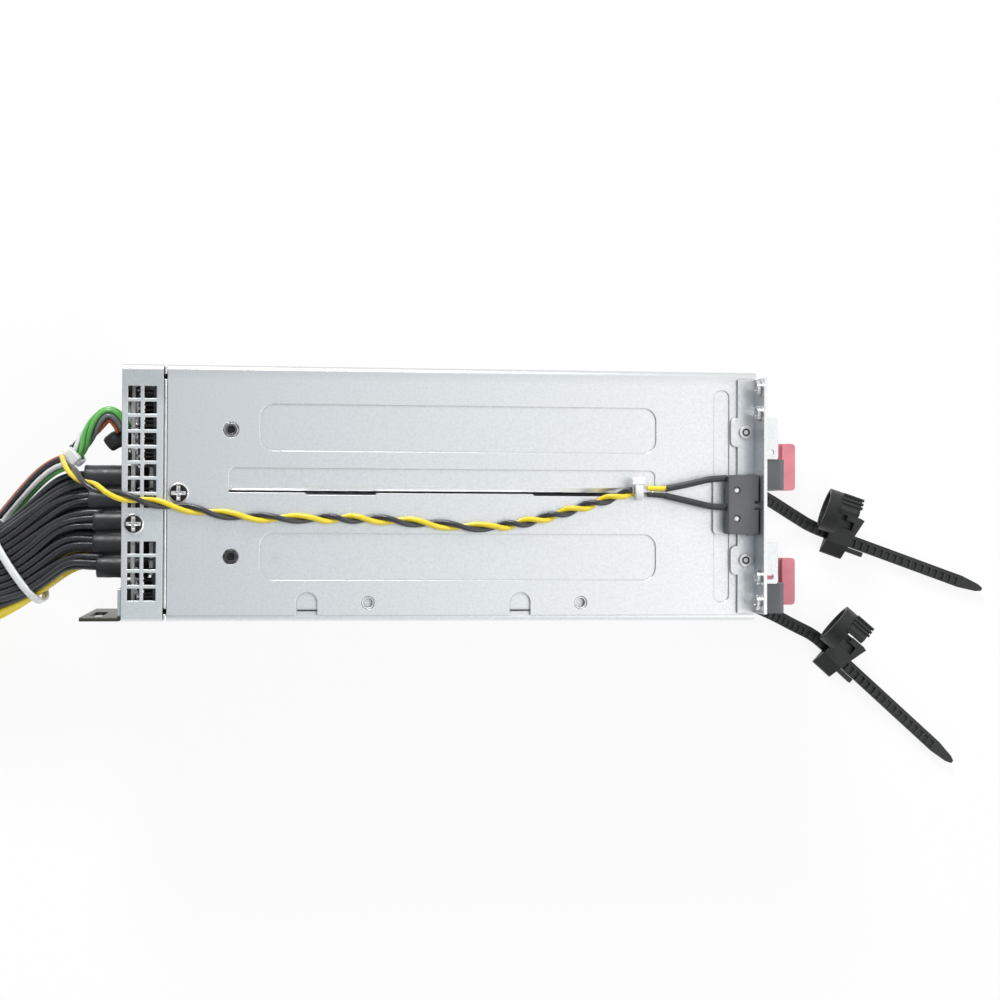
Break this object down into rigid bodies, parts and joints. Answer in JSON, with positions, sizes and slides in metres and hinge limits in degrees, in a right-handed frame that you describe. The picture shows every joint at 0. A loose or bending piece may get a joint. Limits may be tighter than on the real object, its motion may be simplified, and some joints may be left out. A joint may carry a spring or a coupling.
{
  "type": "hot swap server power supply",
  "caption": "Redundant server power supply: sheet-metal cage with stacked hot swap modules, vented rear cover with output harness, and front flange with an interlock switch.",
  "frame": {"origin": "centre of the outer face of the cage's side wall that it lies on", "axes": "+X out of the front, along the modules' travel; +Y from the lower to the upper module; +Z away from the surface that the cage lies on"},
  "size_m": [0.5805, 0.1745, 0.0914],
  "materials": {
    "cage_steel": "zinc coated sheet, satin",
    "cover_steel": "zinc coated sheet, satin",
    "case_steel": "zinc coated sheet, satin",
    "zinc_hardware": "zinc plated",
    "board_green": "solder mask",
    "capacitor_black": "matte",
    "connector_black": "matte",
    "connector_white": "matte",
    "copper_tin": "tinned",
    "sleeve_black": "satin heat-shrink",
    "switch_grey": "fine texture",
    "wire_black": "satin insulation",
    "wire_mixed": "bundle of coloured wires",
    "wire_yellow": "satin insulation",
    "tie_white": "translucent white nylon",
    "handle_black": "fine texture",
    "latch_pink": "matte",
    "strap_black": "matte nylon",
    "light_green": "clear green"
  },
  "bodies": {
    "cage": {"cage_shell": "cage_steel", "cage_base_plate": "cage_steel", "rear_cover": "cover_steel", "rear_foot_bracket": "cover_steel", "front_flange_bracket": "cage_steel", "flange_nuts": "zinc_hardware", "bracket_rivets": "zinc_hardware", "cross_screws": "zinc_hardware", "wall_inserts": "zinc_hardware", "distribution_board": "board_green", "board_sockets": "connector_black", "board_capacitors": "capacitor_black", "output_lugs": "copper_tin", "cable_sleeves": "sleeve_black", "switch_body": "switch_grey", "switch_terminals": "copper_tin", "harness_trunk": "wire_black", "main_cable": "wire_mixed", "processor_cable": "wire_yellow", "drive_cable": "wire_mixed", "signal_cable": "wire_mixed", "twisted_lead": "wire_yellow", "switch_leads": "sleeve_black", "lead_ties": "tie_white", "harness_ties": "tie_white", "main_connector": "connector_black", "processor_connector": "connector_black", "drive_connector": "connector_white", "signal_connector": "connector_black"},
    "upper_module": {"upper_case_tray": "case_steel", "upper_case_cover": "case_steel", "upper_front_panel": "case_steel", "upper_fan_frame": "connector_black", "upper_mains_inlet": "connector_black", "upper_inlet_pins": "copper_tin", "upper_main_board": "board_green", "upper_power_parts": "capacitor_black", "upper_handle": "handle_black", "upper_latch_pin": "zinc_hardware", "upper_strap": "strap_black", "upper_status_light": "light_green"},
    "upper_fan": {"upper_fan_rotor": "connector_black"},
    "upper_latch_lever": {"upper_latch": "latch_pink"},
    "upper_clamp": {"upper_strap_clamp": "strap_black"},
    "lower_module": {"lower_case_tray": "case_steel", "lower_case_cover": "case_steel", "lower_front_panel": "case_steel", "lower_fan_frame": "connector_black", "lower_mains_inlet": "connector_black", "lower_inlet_pins": "copper_tin", "lower_main_board": "board_green", "lower_power_parts": "capacitor_black", "lower_handle": "handle_black", "lower_latch_pin": "zinc_hardware", "lower_strap": "strap_black", "lower_status_light": "light_green"},
    "lower_fan": {"lower_fan_rotor": "connector_black"},
    "lower_latch_lever": {"lower_latch": "latch_pink"},
    "lower_clamp": {"lower_strap_clamp": "strap_black"},
    "switch_plunger": {"switch_button": "connector_black"}
  },
  "joints": [
    {"name": "upper_module_slide", "type": "slide", "parent": "cage", "child": "upper_module", "axis": [1, 0, 0], "range_m": [0, 0.19]},
    {"name": "upper_fan_spin", "type": "hinge", "parent": "upper_module", "child": "upper_fan", "pos_m": [0.097, 0.0215, 0.0568], "axis": [1, 0, 0], "continuous": true},
    {"name": "upper_latch_press", "type": "hinge", "parent": "upper_module", "child": "upper_latch_lever", "pos_m": [0.082, 0.0115, 0.0056], "axis": [0, -1, 0], "range_deg": [0, 7], "stiffness_Nm_per_rad": 0.5, "springref_deg": -3.44},
    {"name": "lower_module_slide", "type": "slide", "parent": "cage", "child": "lower_module", "axis": [1, 0, 0], "range_m": [0, 0.19], "deforming": ["upper_strap", "upper_strap_clamp"]},
    {"name": "lower_fan_spin", "type": "hinge", "parent": "lower_module", "child": "lower_fan", "pos_m": [0.097, -0.0215, 0.0568], "axis": [1, 0, 0], "continuous": true},
    {"name": "lower_latch_press", "type": "hinge", "parent": "lower_module", "child": "lower_latch_lever", "pos_m": [0.082, -0.0315, 0.0056], "axis": [0, -1, 0], "range_deg": [0, 7], "stiffness_Nm_per_rad": 0.5, "springref_deg": -3.44},
    {"name": "upper_clamp_slide", "type": "slide", "parent": "upper_module", "child": "upper_clamp", "axis": [0.9431, -0.3326, 0], "range_m": [0, 0.035]},
    {"name": "lower_clamp_slide", "type": "slide", "parent": "lower_module", "child": "lower_clamp", "axis": [0.7457, -0.6662, 0], "range_m": [0, 0.035]},
    {"name": "switch_press", "type": "slide", "parent": "cage", "child": "switch_plunger", "axis": [-1, 0, 0], "range_m": [0, 0.0008], "stiffness_N_per_m": 1500, "springref_m": -0.0003}
  ]
}
